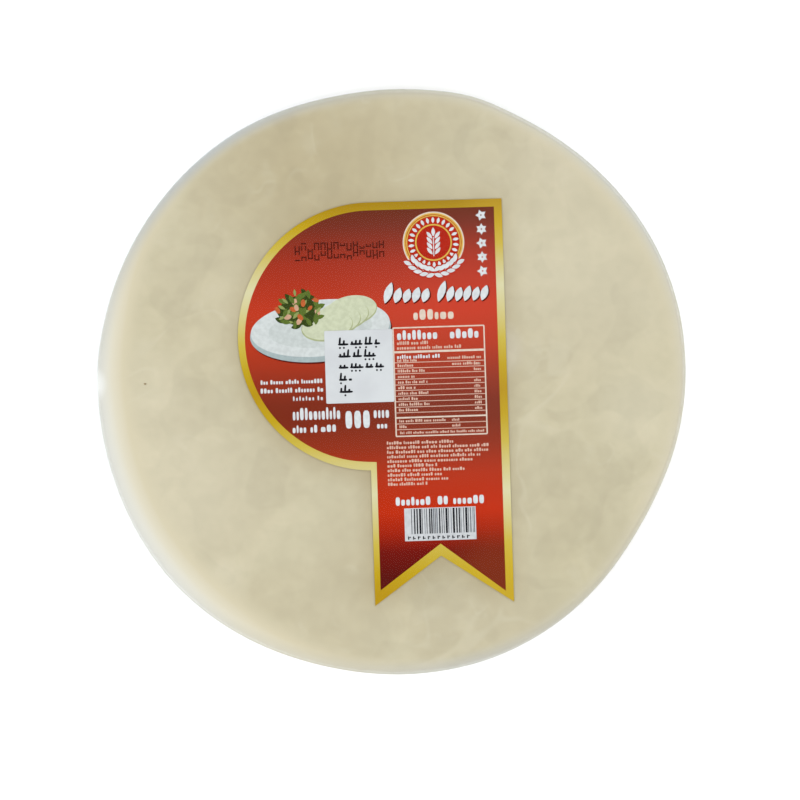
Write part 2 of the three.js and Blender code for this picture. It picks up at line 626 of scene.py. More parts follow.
RED_PRINT = PrintedGradient(
    "red_print",
    (
        (-92, (94, 24, 8)),
        (-82, (118, 26, 11)),
        (-75, (165, 39, 16)),
        (-67, (194, 51, 22)),
        (-53, (182, 55, 29)),
        (-42, (151, 53, 31)),
        (-32, (129, 48, 29)),
        (-25, (129, 48, 30)),
        (-17, (150, 53, 33)),
        (-4, (183, 59, 34)),
        (10, (195, 61, 37)),
        (28, (167, 55, 37)),
        (42, (123, 52, 38)),
        (50, (106, 49, 30)),
    ),
    (
        # painted sheen: brighter red towards the upper right, in these two patches
        Patch((36, 17), (5, 30), 0.12, (250, 64, 38)),
        Patch((12, 12), (5, 26), 0.05, (250, 64, 38)),
        Patch((-38, -31), (3, 16), 0.1, (100, 40, 24)),
        Patch((46, -70), (3, 16), 0.3, (198, 56, 32)),
        # painted sheen: lighter at the tail's lower right
        Patch((44, -92), (4, 26), 0.8, (133, 54, 31)),
        # painted sheen of the film: a faint white over the right side
        Patch((40, 0), (20, 75), 0.016, (226, 226, 220)),
    ),
)


class Ink(Enum):
    """The flat inks of the label and the sticker, as they show."""

    WHITE = (226, 230, 231)
    BOX = (213, 215, 217)
    CREAM = (233, 214, 196)
    FINE = (226, 188, 168)
    SHADE = (92, 26, 17)
    STAMP = (72, 27, 20)
    BLACK = (34, 34, 38)
    GREY = (128, 133, 138)
    GOLD = (226, 186, 84)
    RED = (186, 46, 31)
    PLATE = (218, 223, 221)
    PLATE_EDGE = (176, 190, 190)
    WELL = (209, 215, 212)
    SHEET = (212, 217, 186)
    SHEET_EDGE = (178, 185, 142)
    LEAF = (98, 118, 52)
    DARK_LEAF = (60, 74, 32)
    LIGHT_LEAF = (150, 162, 96)
    CARROT = (198, 104, 58)
    PRAWN = (214, 170, 140)

    def make(self) -> Material:
        """Builds the ink's material: slightly uneven, as print is.

        Returns:
            The material.
        """
        graph = Graph("ink_" + self.name.lower())
        darkened = 0.94  # how much of each channel shows where the ink lies thick
        thick = tone(*(channel * darkened for channel in self.value))
        colour = graph.mix(graph.uneven(graph.cloud(650, 3)), tone(*self.value), thick)
        normal = graph.bump(graph.cloud(900, 2), 0.006 * MM)
        return graph.surface(colour, graph.uneven(graph.cloud(80, 2), (0.4, 0.5)), normal)


@dataclass(frozen=True)
class StickerPaper:
    """Matte bluish white paper with a faint tooth."""

    colour: Colour = tone(215, 219, 221)
    shaded: Colour = tone(208, 211, 214)
    tooth: float = 0.02 * MM

    def make(self) -> Material:
        """Builds the material.

        Returns:
            The material.
        """
        graph = Graph("sticker_paper")
        colour = graph.mix(graph.uneven(graph.cloud(90, 3)), self.colour, self.shaded)
        fibres = graph.cloud(1800, 3)
        roughness = graph.uneven(fibres, (0.55, 0.68))
        return graph.surface(colour, roughness, graph.bump(fibres, self.tooth))


@dataclass(frozen=True)
class Bran:
    """A brown fleck of bran."""

    colour: Colour = tone(128, 104, 70)
    edge: Colour = tone(166, 146, 108)
    roughness: float = 0.6
    relief: float = 0.02 * MM

    def make(self) -> Material:
        """Builds the material.

        Returns:
            The material.
        """
        graph = Graph("bran")
        mottle = graph.cloud(2600, 2)
        colour = graph.mix(graph.span(mottle, (0.35, 0.65)), self.colour, self.edge)
        return graph.surface(colour, self.roughness, graph.bump(mottle, self.relief))


@dataclass(frozen=True)
class StudioFloor:
    """A plain pale floor."""

    colour: Colour = (0.98, 0.98, 0.98, 1.0)
    roughness: float = 0.9
    relief: float = 0.01 * MM

    def make(self) -> Material:
        """Builds the material."""
        graph = Graph("studio_floor")
        return graph.surface(self.colour, self.roughness, graph.bump(graph.cloud(20), self.relief))


# ---- Where things lie ----


def cad_points(node: str) -> np.ndarray:
    """Reads a CAD node's vertices, one row each."""
    return Bench.points(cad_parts[node])


@dataclass
class LabelPlace:
    """The label's own frame: the origin at the centre of its round part, u right and v up."""

    turn: float = math.radians(1.8)
    shade_reach: float = 9 * MM
    shade_shift: Pair = (-0.3 * MM, -1.2 * MM)
    shade_fall: float = 1.2  # how fast the shade thins outwards, as a power
    centre: Pair = field(init=False)
    top: float = field(init=False)
    outline: np.ndarray = field(init=False)

    def __post_init__(self) -> None:
        """Finds the frame from the label's straight sides, and the outline from its top."""
        points = cad_points("label")
        own = points[:, :2] @ self.turning()
        left, right = own[:, 0].min(), own[:, 0].max()
        radius = (right - left) / 2
        middle = np.array([(left + right) / 2, own[:, 1].max() - radius])
        self.centre = tuple(middle @ self.turning().T)
        self.top = points[:, 2].max()
        face = self.top_face("label_outline")
        corners = face.data.polygons[0].vertices
        self.outline = np.array([face.data.vertices[corner].co[:2] for corner in corners])
        bpy.data.objects.remove(face)

    def top_face(self, name: str) -> Object:
        """Copies the label's flat top as one face.

        Args:
            name: The copy's name.

        Returns:
            The copy.
        """
        piece = Bench.copied(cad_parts["label"], name)
        with Bench.editing(piece, "FACE") as mesh:
            bpy.ops.mesh.remove_doubles(threshold=WELD)
            bpy.ops.mesh.dissolve_limited(angle_limit=math.radians(0.5))
            Bench.pick(mesh.faces, lambda f: f.normal.z < 0.9)
            bpy.ops.mesh.delete(type="FACE")
        return piece

    def turning(self) -> np.ndarray:
        """Gives the matrix that takes a row of pack coordinates to the label's turn."""
        cos, sin = math.cos(self.turn), math.sin(self.turn)
        return np.array([[cos, -sin], [sin, cos]])

    def on_label(self, points: np.ndarray) -> np.ndarray:
        """Gives the places (u, v) on the label of points of the pack, one row each."""
        return (points[:, :2] - np.array(self.centre)) @ self.turning()

    def on_pack(self, own: np.ndarray) -> np.ndarray:
        """Gives the places (x, y) on the pack of points (u, v), one row each."""
        return own @ self.turning().T + np.array(self.centre)

    def covers(self, points: np.ndarray) -> np.ndarray:
        """Tells which points lie under the label.

        Args:
            points: Points of the pack, one row each.

        Returns:
            True for each that does.
        """
        inside = np.zeros(len(points), bool)
        for start, end in zip(self.outline, np.roll(self.outline, -1, axis=0)):
            crosses = (start[1] > points[:, 1]) != (end[1] > points[:, 1])
            if end[1] != start[1]:
                rise = (points[:, 1] - start[1]) / (end[1] - start[1])
                inside ^= crosses & (points[:, 0] < start[0] + rise * (end[0] - start[0]))
        return inside

    def distance(self, points: np.ndarray) -> np.ndarray:
        """Measures how far points lie outside the label.

        Args:
            points: Points of the pack, one row each.

        Returns:
            The distance of each, and 0 on the label.
        """
        nearest = np.full(len(points), np.inf)
        for start, end in zip(self.outline, np.roll(self.outline, -1, axis=0)):
            side, offset = end - start, points[:, :2] - start
            share = np.clip(offset @ side / (side @ side), 0, 1)
            gap = offset - share[:, None] * side
            nearest = np.minimum(nearest, np.hypot(gap[:, 0], gap[:, 1]))
        return np.where(self.covers(points), 0.0, nearest)

    def shade(self, points: np.ndarray, samples: int = 60) -> np.ndarray:
        """Works out the soft shade beside the label: how much of it stands close by.

        Args:
            points: Points of the pack, one row each.
            samples: How many places round each point are looked at.

        Returns:
            The shade of each point, from 0 to 1.
        """
        near = np.zeros(len(points))
        for index in range(samples):
            out = self.shade_reach * math.sqrt((index + 0.5) / samples)
            angle = math.radians(GOLDEN_ANGLE * index)
            step = np.array([out * math.cos(angle), out * math.sin(angle)])
            near += self.covers(points[:, :2] + step - np.array(self.shade_shift))
        return (near / samples) ** self.shade_fall


class PackSkin:
    """The pack's smooth outer form, which the film takes and the sheets fill."""

    def __init__(self, smoothing: int = 2) -> None:
        """Smooths a copy of the CAD solid.

        Args:
            smoothing: How often its faces are divided.
        """
        self.form = Bench.copied(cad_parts["wrapped_sheets"], "film")
        with Bench.editing(self.form, "FACE"):
            bpy.ops.mesh.remove_doubles(threshold=WELD)
            bpy.ops.mesh.tris_convert_to_quads(
                face_threshold=math.radians(40), shape_threshold=math.radians(60)
            )
            bpy.ops.mesh.normals_make_consistent(inside=False)
        Bench.modify(self.form, "SUBSURF", levels=smoothing, render_levels=smoothing)
        mesh = self.form.data
        faces = [tuple(face.vertices) for face in mesh.polygons]
        self.tree = BVHTree.FromPolygons([v.co.copy() for v in mesh.vertices], faces)
        self.height = Bench.points(self.form)[:, 2].max()

    def reach(self, bearing: float, level: float) -> float:
        """Measures from the pack's axis out to the skin, at a height and a bearing in radians."""
        way = Vector((math.cos(bearing), math.sin(bearing), 0))
        return self.tree.ray_cast(Vector((0, 0, level)), way)[3]

    def depths(self, x: float, y: float) -> Pair:
        """Finds the skin below and above a point of the plan.

        Args:
            x: Across the pack.
            y: Up the pack.

        Returns:
            The heights of the underside and of the top there.
        """
        up = self.tree.ray_cast(Vector((x, y, -1)), Vector((0, 0, 1)))[0]
        down = self.tree.ray_cast(Vector((x, y, 1)), Vector((0, 0, -1)))[0]
        return up.z, down.z


# ---- Sheets ----


@dataclass
class PaperStack:
    """The stack of sheets: nested discs, flat in the middle and drawn together at the rim."""

    skin: PackSkin
    place: LabelPlace
    count: int = 50
    bundles: int = 5
    thickness: float = 0.12 * MM
    clearance: float = 0.1 * MM
    lowest_edge: float = 2.2 * MM
    highest_edge: float = 10.4 * MM
    outline_points: int = 181
    slip: float = 0.3 * MM  # the most that a sheet has slid to one side
    unevenness: float = 0.12 * MM
    crowding: float = 0.2  # how uneven the gaps between sheets are, as a share of one
    relief: float = 0.12 * MM  # how deep the top sheet's waves are
    waves: float = 42.0  # in each metre
    wave_change: float = 0.004  # how far each sheet's waves differ from the next one's
    calm: Pair = (2 * MM, 16 * MM)  # how far beside the label its waves start, and are full
    sway: float = 0.25 * MM  # how far the rims between top and bottom rise and fall
    rim_pale: float = 0.36
    rim_changes: tuple[Swell, ...] = (
        Swell(40, 35, 0.12),
        Swell(97, 18, -0.16),
        Swell(243, 14, -0.1),
        Swell(293, 38, -0.2),
    )
    pale_reach: float = 8 * MM
    upper_right_reach: Swell = Swell(38, 32, 4 * MM)
    leaning: Swell = Swell(203, 53, power=4)  # where the stack leans out towards the key lamp, and is palest, partly with painted light
    leaning_reach: float = 11 * MM
    turned_down: float = 0.14  # how much paler a sheet is painted where its edge turns down: painted light against the shade there
    turned_at: float = 1.1 * MM
    turned_width: float = 0.8 * MM
    # how much painted reflection and shade the rim shows, all round and towards some bearings
    reflection_and_shade_base: float = 0.1
    reflection_and_shade_changes: tuple[Swell, ...] = (
        Swell(130, 28, 0.55),
        Swell(50, 40, 0.17),
        Swell(285, 22, 0.25),
        Swell(33, 18, 0.12),
    )
    reflection_and_shade_width: float = 5.5 * MM
    fine_around: int = 224
    fine_step: Pair = (0.0028, 0.017)  # between a fine sheet's rings at its rim, and at most
    fine_growth: float = 1.09  # of that step from ring to ring
    innermost: float = 0.03
    plain_around: int = 160
    plain_rings: tuple[float, ...] = (1.0, 0.988, 0.972, 0.952, 0.925, 0.85, 0.5)
    draw: random.Random = field(default_factory=lambda: random.Random(41))

    def fine_rings(self) -> list[float]:
        """Spaces the fine sheets' rings, closest at the rim.

        Returns:
            The radius of each ring, from the rim in.
        """
        rings, (step, widest) = [1.0], self.fine_step
        while rings[-1] > self.innermost:
            rings.append(rings[-1] - step)
            step = min(step * self.fine_growth, widest)
        return rings

    def blank(self, around: int, rings: Sequence[float]) -> Object:
        """Models a flat round sheet, one metre in radius.

        Args:
            around: Sides of its outline.
            rings: The radius of each ring of edges, from the outline in.

        Returns:
            The sheet.
        """
        Bench.clear()
        bpy.ops.mesh.primitive_circle_add(vertices=around, radius=rings[0], fill_type="NGON")
        sheet = Bench.added("blank")
        with Bench.editing(sheet, "FACE"):
            for outer, inner in zip(rings, rings[1:]):
                bpy.ops.mesh.inset(thickness=outer - inner)
            bpy.ops.mesh.poke()
        return sheet

    def outline(self, bearings: np.ndarray, rise: float) -> np.ndarray:
        """Works out how far a sheet reaches, a little short of the skin all round.

        Args:
            bearings: Where round the sheet to look.
            rise: The sheet's share of the way up the stack.

        Returns:
            The radius at each bearing.
        """
        level = self.lowest_edge + (self.highest_edge - self.lowest_edge) * rise
        slipped = self.draw.uniform(0, 2 * math.pi)
        uneven = self.draw.uniform(0, 100)
        radii = []
        for bearing in bearings:
            inward = self.slip * (0.5 - 0.5 * math.cos(bearing - slipped))
            spot = Vector((math.cos(bearing) * 3, math.sin(bearing) * 3, uneven))
            inward += self.unevenness * abs(noise.noise(spot))
            radii.append(self.skin.reach(bearing, level) - self.clearance - inward)
        return np.array(radii)

    def paleness(self, bearings: np.ndarray, inside: np.ndarray) -> np.ndarray:
        """Works out how pale a sheet is towards its rim: partly the paper's own paler edge and partly
        painted light, most where the stack leans out on the key lamp's side.

        Args:
            bearings: The bearing of each point of the sheet.
            inside: How far each lies inside the rim.

        Returns:
            The paleness of each, from 0 to 1.
        """
        leaning = self.leaning.over(bearings)
        strength = swollen(self.rim_pale, self.rim_changes, bearings)
        strength += (1 - self.rim_pale) * leaning
        reach = self.pale_reach + self.leaning_reach * leaning
        reach += self.upper_right_reach.over(bearings)
        turned = np.exp(-(((inside - self.turned_at) / self.turned_width) ** 2))
        turned *= self.turned_down * (1 - leaning)
        return strength * (1 - smooth(inside, 0.0, reach)) + turned

    def reflection_and_shade_share(self, bearings: np.ndarray, inside: np.ndarray) -> np.ndarray:
        """Works out how much of a painted bluish grey a sheet shows close to its rim, standing for the
        film's reflection and for shade: most at the upper left.
        """
        strength = swollen(self.reflection_and_shade_base, self.reflection_and_shade_changes, bearings)
        return strength * (1 - smooth(inside, 0.0, self.reflection_and_shade_width))

    def lay(self, blank: Object, index: int, relief: float = 0.0) -> Object:
        """Lays a copy of a blank in its place in the stack.

        Args:
            blank: The flat sheet to copy.
            index: Its place, counted from the bottom.
            relief: How deep its own waves are.

        Returns:
            The sheet, still without thickness.
        """
        sheet = Bench.copied(blank, f"sheet_{index}")
        flat = Bench.points(sheet)
        shares = np.hypot(flat[:, 0], flat[:, 1])
        bearings = np.arctan2(flat[:, 1], flat[:, 0])
        rise = index / (self.count - 1)
        around = np.linspace(-math.pi, math.pi, self.outline_points)
        reach = np.interp(bearings, around, self.outline(around, rise), period=2 * math.pi)
        points = flat * reach[:, None]
        waves = relief * smooth(self.place.distance(points), *self.calm)
        margin = self.clearance + self.thickness / 2
        uneven = self.draw.uniform(-self.crowding, self.crowding) / self.count
        crowd = min(1.0, max(0.0, rise + uneven))
        for point, share, deep in zip(points, shares, waves):
            low, high = self.skin.depths(point[0], point[1])
            spot = Vector((point[0], point[1], self.wave_change * index)) * self.waves
            dip = deep * (0.5 + 0.5 * noise.noise(spot))
            sway = self.sway * share**6 * math.sin(math.pi * rise) * noise.noise(spot * 0.8)
            point[2] = low + margin + (high - low - 2 * margin) * crowd - dip + sway
        Bench.move(sheet, points)
        Bench.mark(sheet, "rim", self.paleness(bearings, (1 - shares) * reach))
        Bench.mark(sheet, "painted_reflection_and_shade", self.reflection_and_shade_share(bearings, (1 - shares) * reach))
        on_top = index == self.count - 1
        Bench.mark(sheet, "shade", self.place.shade(points) if on_top else shares * 0)
        return sheet

    def thicken(self, sheets: list[Object], name: str) -> Object:
        """Joins sheets into one piece and gives them their thickness.

        Args:
            sheets: The laid sheets.
            name: The piece's name.

        Returns:
            The piece.
        """
        Bench.take(sheets[0])
        for sheet in sheets:
            sheet.select_set(True)
        if len(sheets) > 1:
            bpy.ops.object.join()
        piece = sheets[0]
        piece.name = name
        Bench.modify(piece, "SOLIDIFY", thickness=self.thickness, offset=0.0)
        Bench.take(piece)
        bpy.ops.object.shade_smooth_by_angle(angle=math.radians(50))
        return piece

    def build(self, material: Material) -> None:
        """Builds the top and bottom sheets, and bundles of plain ones between them.

        Args:
            material: The sheets' material.
        """
        fine = self.blank(self.fine_around, self.fine_rings())
        plain = self.blank(self.plain_around, self.plain_rings)
        last = self.count - 1
        pieces = [
            self.thicken([self.lay(fine, last, self.relief)], "top_sheet"),
            self.thicken([self.lay(fine, 0)], "bottom_sheet"),
        ]
        between = range(1, last)
        size = math.ceil(len(between) / self.bundles)
        for bundle in range(self.bundles):
            part = between[bundle * size : (bundle + 1) * size]
            sheets = [self.lay(plain, index) for index in part]
            pieces.append(self.thicken(sheets, f"sheet_bundle_{bundle + 1}"))
        for blank in (fine, plain):
            bpy.data.objects.remove(blank)
        for piece in pieces:
            dress(piece, material, "rice_paper_in_film", "wrapped_sheets")


@dataclass
class BranSpeck:
    """A fleck of bran in the top sheet, narrower at its right end."""

    skin: PackSkin
    at: Pair = (-93.1 * MM, -0.8 * MM)
    size: Pair = (1.0 * MM, 0.55 * MM)
    thickness: float = 0.05 * MM
    depth: float = 0.07 * MM  # of its middle, below the skin
    turn: float = math.radians(-8)
    narrow_from: float = 0.3 * MM  # right of its middle

    def build(self, material: Material) -> None:
        """Builds the fleck.

        Args:
            material: Its material.
        """
        _, top = self.skin.depths(*self.at)
        Bench.clear()
        bpy.ops.mesh.primitive_uv_sphere_add(
            segments=14, ring_count=8, radius=0.5, location=(*self.at, top - self.depth)
        )
        speck = bpy.context.object
        speck.scale = (*self.size, self.thickness)
        speck.rotation_euler.z = self.turn
        speck = Bench.added("bran_speck")
        with Bench.editing(speck, "VERT") as mesh:
            Bench.pick(mesh.verts, lambda v: v.co.x > self.at[0] + self.narrow_from)
            bpy.ops.transform.resize(value=(1, 0.5, 1))
        Bench.take(speck)
        bpy.ops.object.shade_smooth()
        dress(speck, material, "rice_paper_in_film")


# ---- Film ----


@dataclass
class FilmWrap:
    """The clear film: tight round the stack, and a low tent over the label's edge."""

    skin: PackSkin
    place: LabelPlace
    label_gap: float = 0.045 * MM
    tent_start: float = 0.8 * MM
    tent_width: float = 6.5 * MM
    pucker: float = 0.07 * MM
    gathers: int = 64
    gathered: Pair = (0.86, 0.97)  # where the gathers start and are full, as shares of the reach
    swing_scale: Pair = (5.0, 60.0)  # how fast their swing changes, round the pack and upwards
    swing_share: float = 0.12  # radians that they swing aside at most
    swing_full: float = 0.3  # the swing at which they are deepest, and below 0 where they end

    def gather(self, points: np.ndarray, bearings: np.ndarray) -> np.ndarray:
        """Works out the film's fine upright gathers at the rim.

        Args:
            points: The film's points, one row each.
            bearings: The bearing of each.

        Returns:
            How far each point is drawn in.
        """
        radii = np.hypot(points[:, 0], points[:, 1])
        at_rim = smooth(radii, *(share * radii.max() for share in self.gathered))
        around, up = self.swing_scale
        swing = np.array([
            noise.noise(Vector((math.cos(bearing) * around, math.sin(bearing) * around, level * up)))
            for bearing, level in zip(bearings, points[:, 2])
        ])
        wave = 0.5 + 0.5 * np.sin(self.gathers * (bearings + self.swing_share * swing))
        return self.pucker * at_rim * wave * smooth(swing, -self.swing_full, self.swing_full)

    def build(self, material: Material) -> None:
        """Builds the film from the pack's smooth form.

        Args:
            material: The film's material.
        """
        film = self.skin.form
        points = Bench.points(film)
        beside = self.place.distance(points)
        near = 1 - smooth(beside, self.tent_start, self.tent_start + self.tent_width)
        over = self.place.top + self.label_gap
        upper = points[:, 2] > self.skin.height / 2
        lifted = points[:, 2] + (over - points[:, 2]) * near
        points[:, 2] = np.where(upper, lifted, points[:, 2])
        bearings = np.arctan2(points[:, 1], points[:, 0])
        inward = self.gather(points, bearings) * (near == 0)
        points[:, 0] -= inward * np.cos(bearings)
        points[:, 1] -= inward * np.sin(bearings)
        Bench.move(film, points)
        Bench.take(film)
        bpy.ops.object.shade_smooth()
        dress(film, material, "clear_film", "wrapped_sheets")


# ---- Printing ----


class Stamp(Enum):
    """The shapes that the print is made of, each within a unit square."""

    BAR = "bar"
    PILL = "pill"
    DOT = "dot"
    DISC = "disc"
    ROUND = "round"
    GRAIN = "grain"
    DROP = "drop"


class StampCase:
    """Models each stamp once and keeps its points and faces."""

    sides = {Stamp.DOT: 8, Stamp.DISC: 16, Stamp.ROUND: 72, Stamp.GRAIN: 14, Stamp.DROP: 16}
    corner = 0.3
    grain_taper = 0.92
    drop_taper = 0.75

    def __init__(self) -> None:
        """Cuts every stamp."""
        self.shapes = {stamp: self.cut(stamp) for stamp in Stamp}

    def cut(self, stamp: Stamp) -> tuple[np.ndarray, list[tuple[int, ...]]]:
        """Models one stamp, a unit high.

        Args:
            stamp: Which one.

        Returns:
            Its points, one row each, and its faces.
        """
        Bench.clear()
        if stamp in self.sides:
            bpy.ops.mesh.primitive_cylinder_add(
                vertices=self.sides[stamp], radius=0.5, depth=1, location=(0, 0, 0.5)
            )
        else:
            bpy.ops.mesh.primitive_cube_add(size=1, location=(0, 0, 0.5))
        block = Bench.added(stamp.value)
        if stamp is Stamp.PILL:
            with Bench.editing(block, "EDGE") as mesh:
                Bench.pick(mesh.edges, lambda e: abs(e.verts[0].co.z - e.verts[1].co.z) > 0.5)
                bpy.ops.mesh.bevel(offset=self.corner, segments=2)
        points = Bench.points(block)
        if stamp is Stamp.GRAIN:
            points[:, 1] *= np.sqrt(1 - (np.abs(points[:, 0]) * 2) ** 2 * self.grain_taper)
        if stamp is Stamp.DROP:
            points[:, 1] *= smooth(0.5 - points[:, 0], 0.0, self.drop_taper)
        faces = [tuple(face.vertices) for face in block.data.polygons]
        bpy.data.objects.remove(block)
        return points, faces


class Mark(NamedTuple):
    """One mark of a print."""

    stamp: Stamp
    at: Pair  # its middle
    size: Pair  # its width and height
    turn: float  # degrees anticlockwise
    lean: float  # how far its top leans right, for each unit of height
    lift: float  # above its print, in levels


class TypeLine(NamedTuple):
    """A line of stand-in type; the widths of its blocks and gaps are shares of its height."""

    left: float
    right: float
    middle: float
    height: float
    thin: float = 0.3  # the narrowest block
    wide: float = 0.62  # the widest block
    gap: float = 0.17  # between two blocks
    word: int = 0  # blocks in a word, or 0 where words differ in length


@dataclass
class Print:
    """Marks of one ink at one level of the print, joined in one piece."""

    name: str
    ink: Ink
    level: float
    seed: int = 1
    rise: float = 0.12  # how much higher each mark stands than the one before
    marks: list[Mark] = field(default_factory=list)
    word_blocks = (3, 8)  # the fewest and most blocks in a word
    block_heights = (0.7, 0.7, 1.0)  # as shares of the line's height
    word_gap = 0.42  # the same

    def __post_init__(self) -> None:
        """Starts the print's own seeded draw."""
        self.draw = random.Random(self.seed)

    def put(
        self,
        stamp: Stamp,
        at: Pair,
        size: Pair,
        turn: float = 0.0,
        lean: float = 0.0,
        step: int | None = None,
    ) -> None:
        """Adds one mark, so many rises above the print's level, or staggered for None."""
        steps = len(self.marks) % STAGGER if step is None else step
        self.marks.append(Mark(stamp, at, size, turn, lean, steps * self.rise))

    def line(self, start: Pair, end: Pair, width: float) -> None:
        """Rules a straight line.

        Args:
            start: One end.
            end: The other end.
            width: The line's width.
        """
        run, rise = end[0] - start[0], end[1] - start[1]
        middle = ((start[0] + end[0]) / 2, (start[1] + end[1]) / 2)
        turn = math.degrees(math.atan2(rise, run))
        self.put(Stamp.BAR, middle, (math.hypot(run, rise), width), turn)

    def word(self, line: TypeLine) -> int:
        """Gives the next word's number of blocks, drawn unless the line sets it."""
        drawn = self.draw.randint(*self.word_blocks)
        return line.word or drawn

    def row(self, line: TypeLine) -> None:
        """Sets a line of stand-in type: plain blocks of uneven size, grouped as words are.

        Args:
            line: Where it runs, and how it is set.
        """
        pen, left_in_word = line.left, self.word(line)
        while pen < line.right - line.thin * line.height:
            width = min(line.height * self.draw.uniform(line.thin, line.wide), line.right - pen)
            tall = line.height * self.draw.choice(self.block_heights)
            at = (pen + width / 2, line.middle - line.height / 2 + tall / 2)
            self.put(Stamp.PILL, at, (width, tall))
            pen += width + line.gap * line.height
            left_in_word -= 1
            if left_in_word == 0:
                pen += self.word_gap * line.height
                left_in_word = self.word(line)

    def rows(self, lines: Sequence[TypeLine]) -> None:
        """Sets several lines of stand-in type."""
        for line in lines:
            self.row(line)

    def ring(self, stamp: Stamp, centre: Pair, radius: float, count: int, size: Pair) -> None:
        """Sets marks round a circle, each with its length along the radius.

        Args:
            stamp: Their shape.
            centre: The circle's centre.
            radius: The circle's radius.
            count: How many.
            size: Length and width of each.
        """
        for index in range(count):
            bearing = 360 * (index + 0.5) / count
            across = centre[0] + radius * math.cos(math.radians(bearing))
            up = centre[1] + radius * math.sin(math.radians(bearing))
            self.put(stamp, (across, up), size, bearing)


class Printer:
    """Turns prints into pieces on the label or on the sticker."""

    thickness = 1.5  # of a mark, in levels

    def __init__(self, place: LabelPlace) -> None:
        """Gets the stamps ready.

        Args:
            place: Where the label lies.
        """
        self.place = place
        self.case = StampCase()
        self.inks: dict[Ink, Material] = {}

    def press(self, job: Print, base: float, layer: float, slot: str) -> None:
        """Makes one print a piece.

        Args:
            job: The print.
            base: The height of the surface that it is printed on.
            layer: How much higher each level of the print stands.
            slot: The record's material slot.
        """
        points, faces, used = [], [], 0
        for stamp, at, size, turn, lean, lift in job.marks:
            shape, shape_faces = self.case.shapes[stamp]
            cos, sin = math.cos(math.radians(turn)), math.sin(math.radians(turn))
            across = shape[:, 0] * size[0] + shape[:, 1] * size[1] * lean
            up = shape[:, 1] * size[1]
            own = np.stack((across * cos - up * sin + at[0], across * sin + up * cos + at[1]), 1)
            raised = job.level - self.thickness + self.thickness * shape[:, 2] + lift
            points.append(np.column_stack((self.place.on_pack(own * MM), base + layer * raised)))
            faces += [tuple(used + corner for corner in face) for face in shape_faces]
            used += len(shape)
        mesh = bpy.data.meshes.new(job.name)
        mesh.from_pydata(np.concatenate(points).tolist(), [], faces)
        if job.ink not in self.inks:
            self.inks[job.ink] = job.ink.make()
        dress(Bench.linked(job.name, mesh), self.inks[job.ink], slot)


# ---- What is printed, in millimetres of the label's frame ----


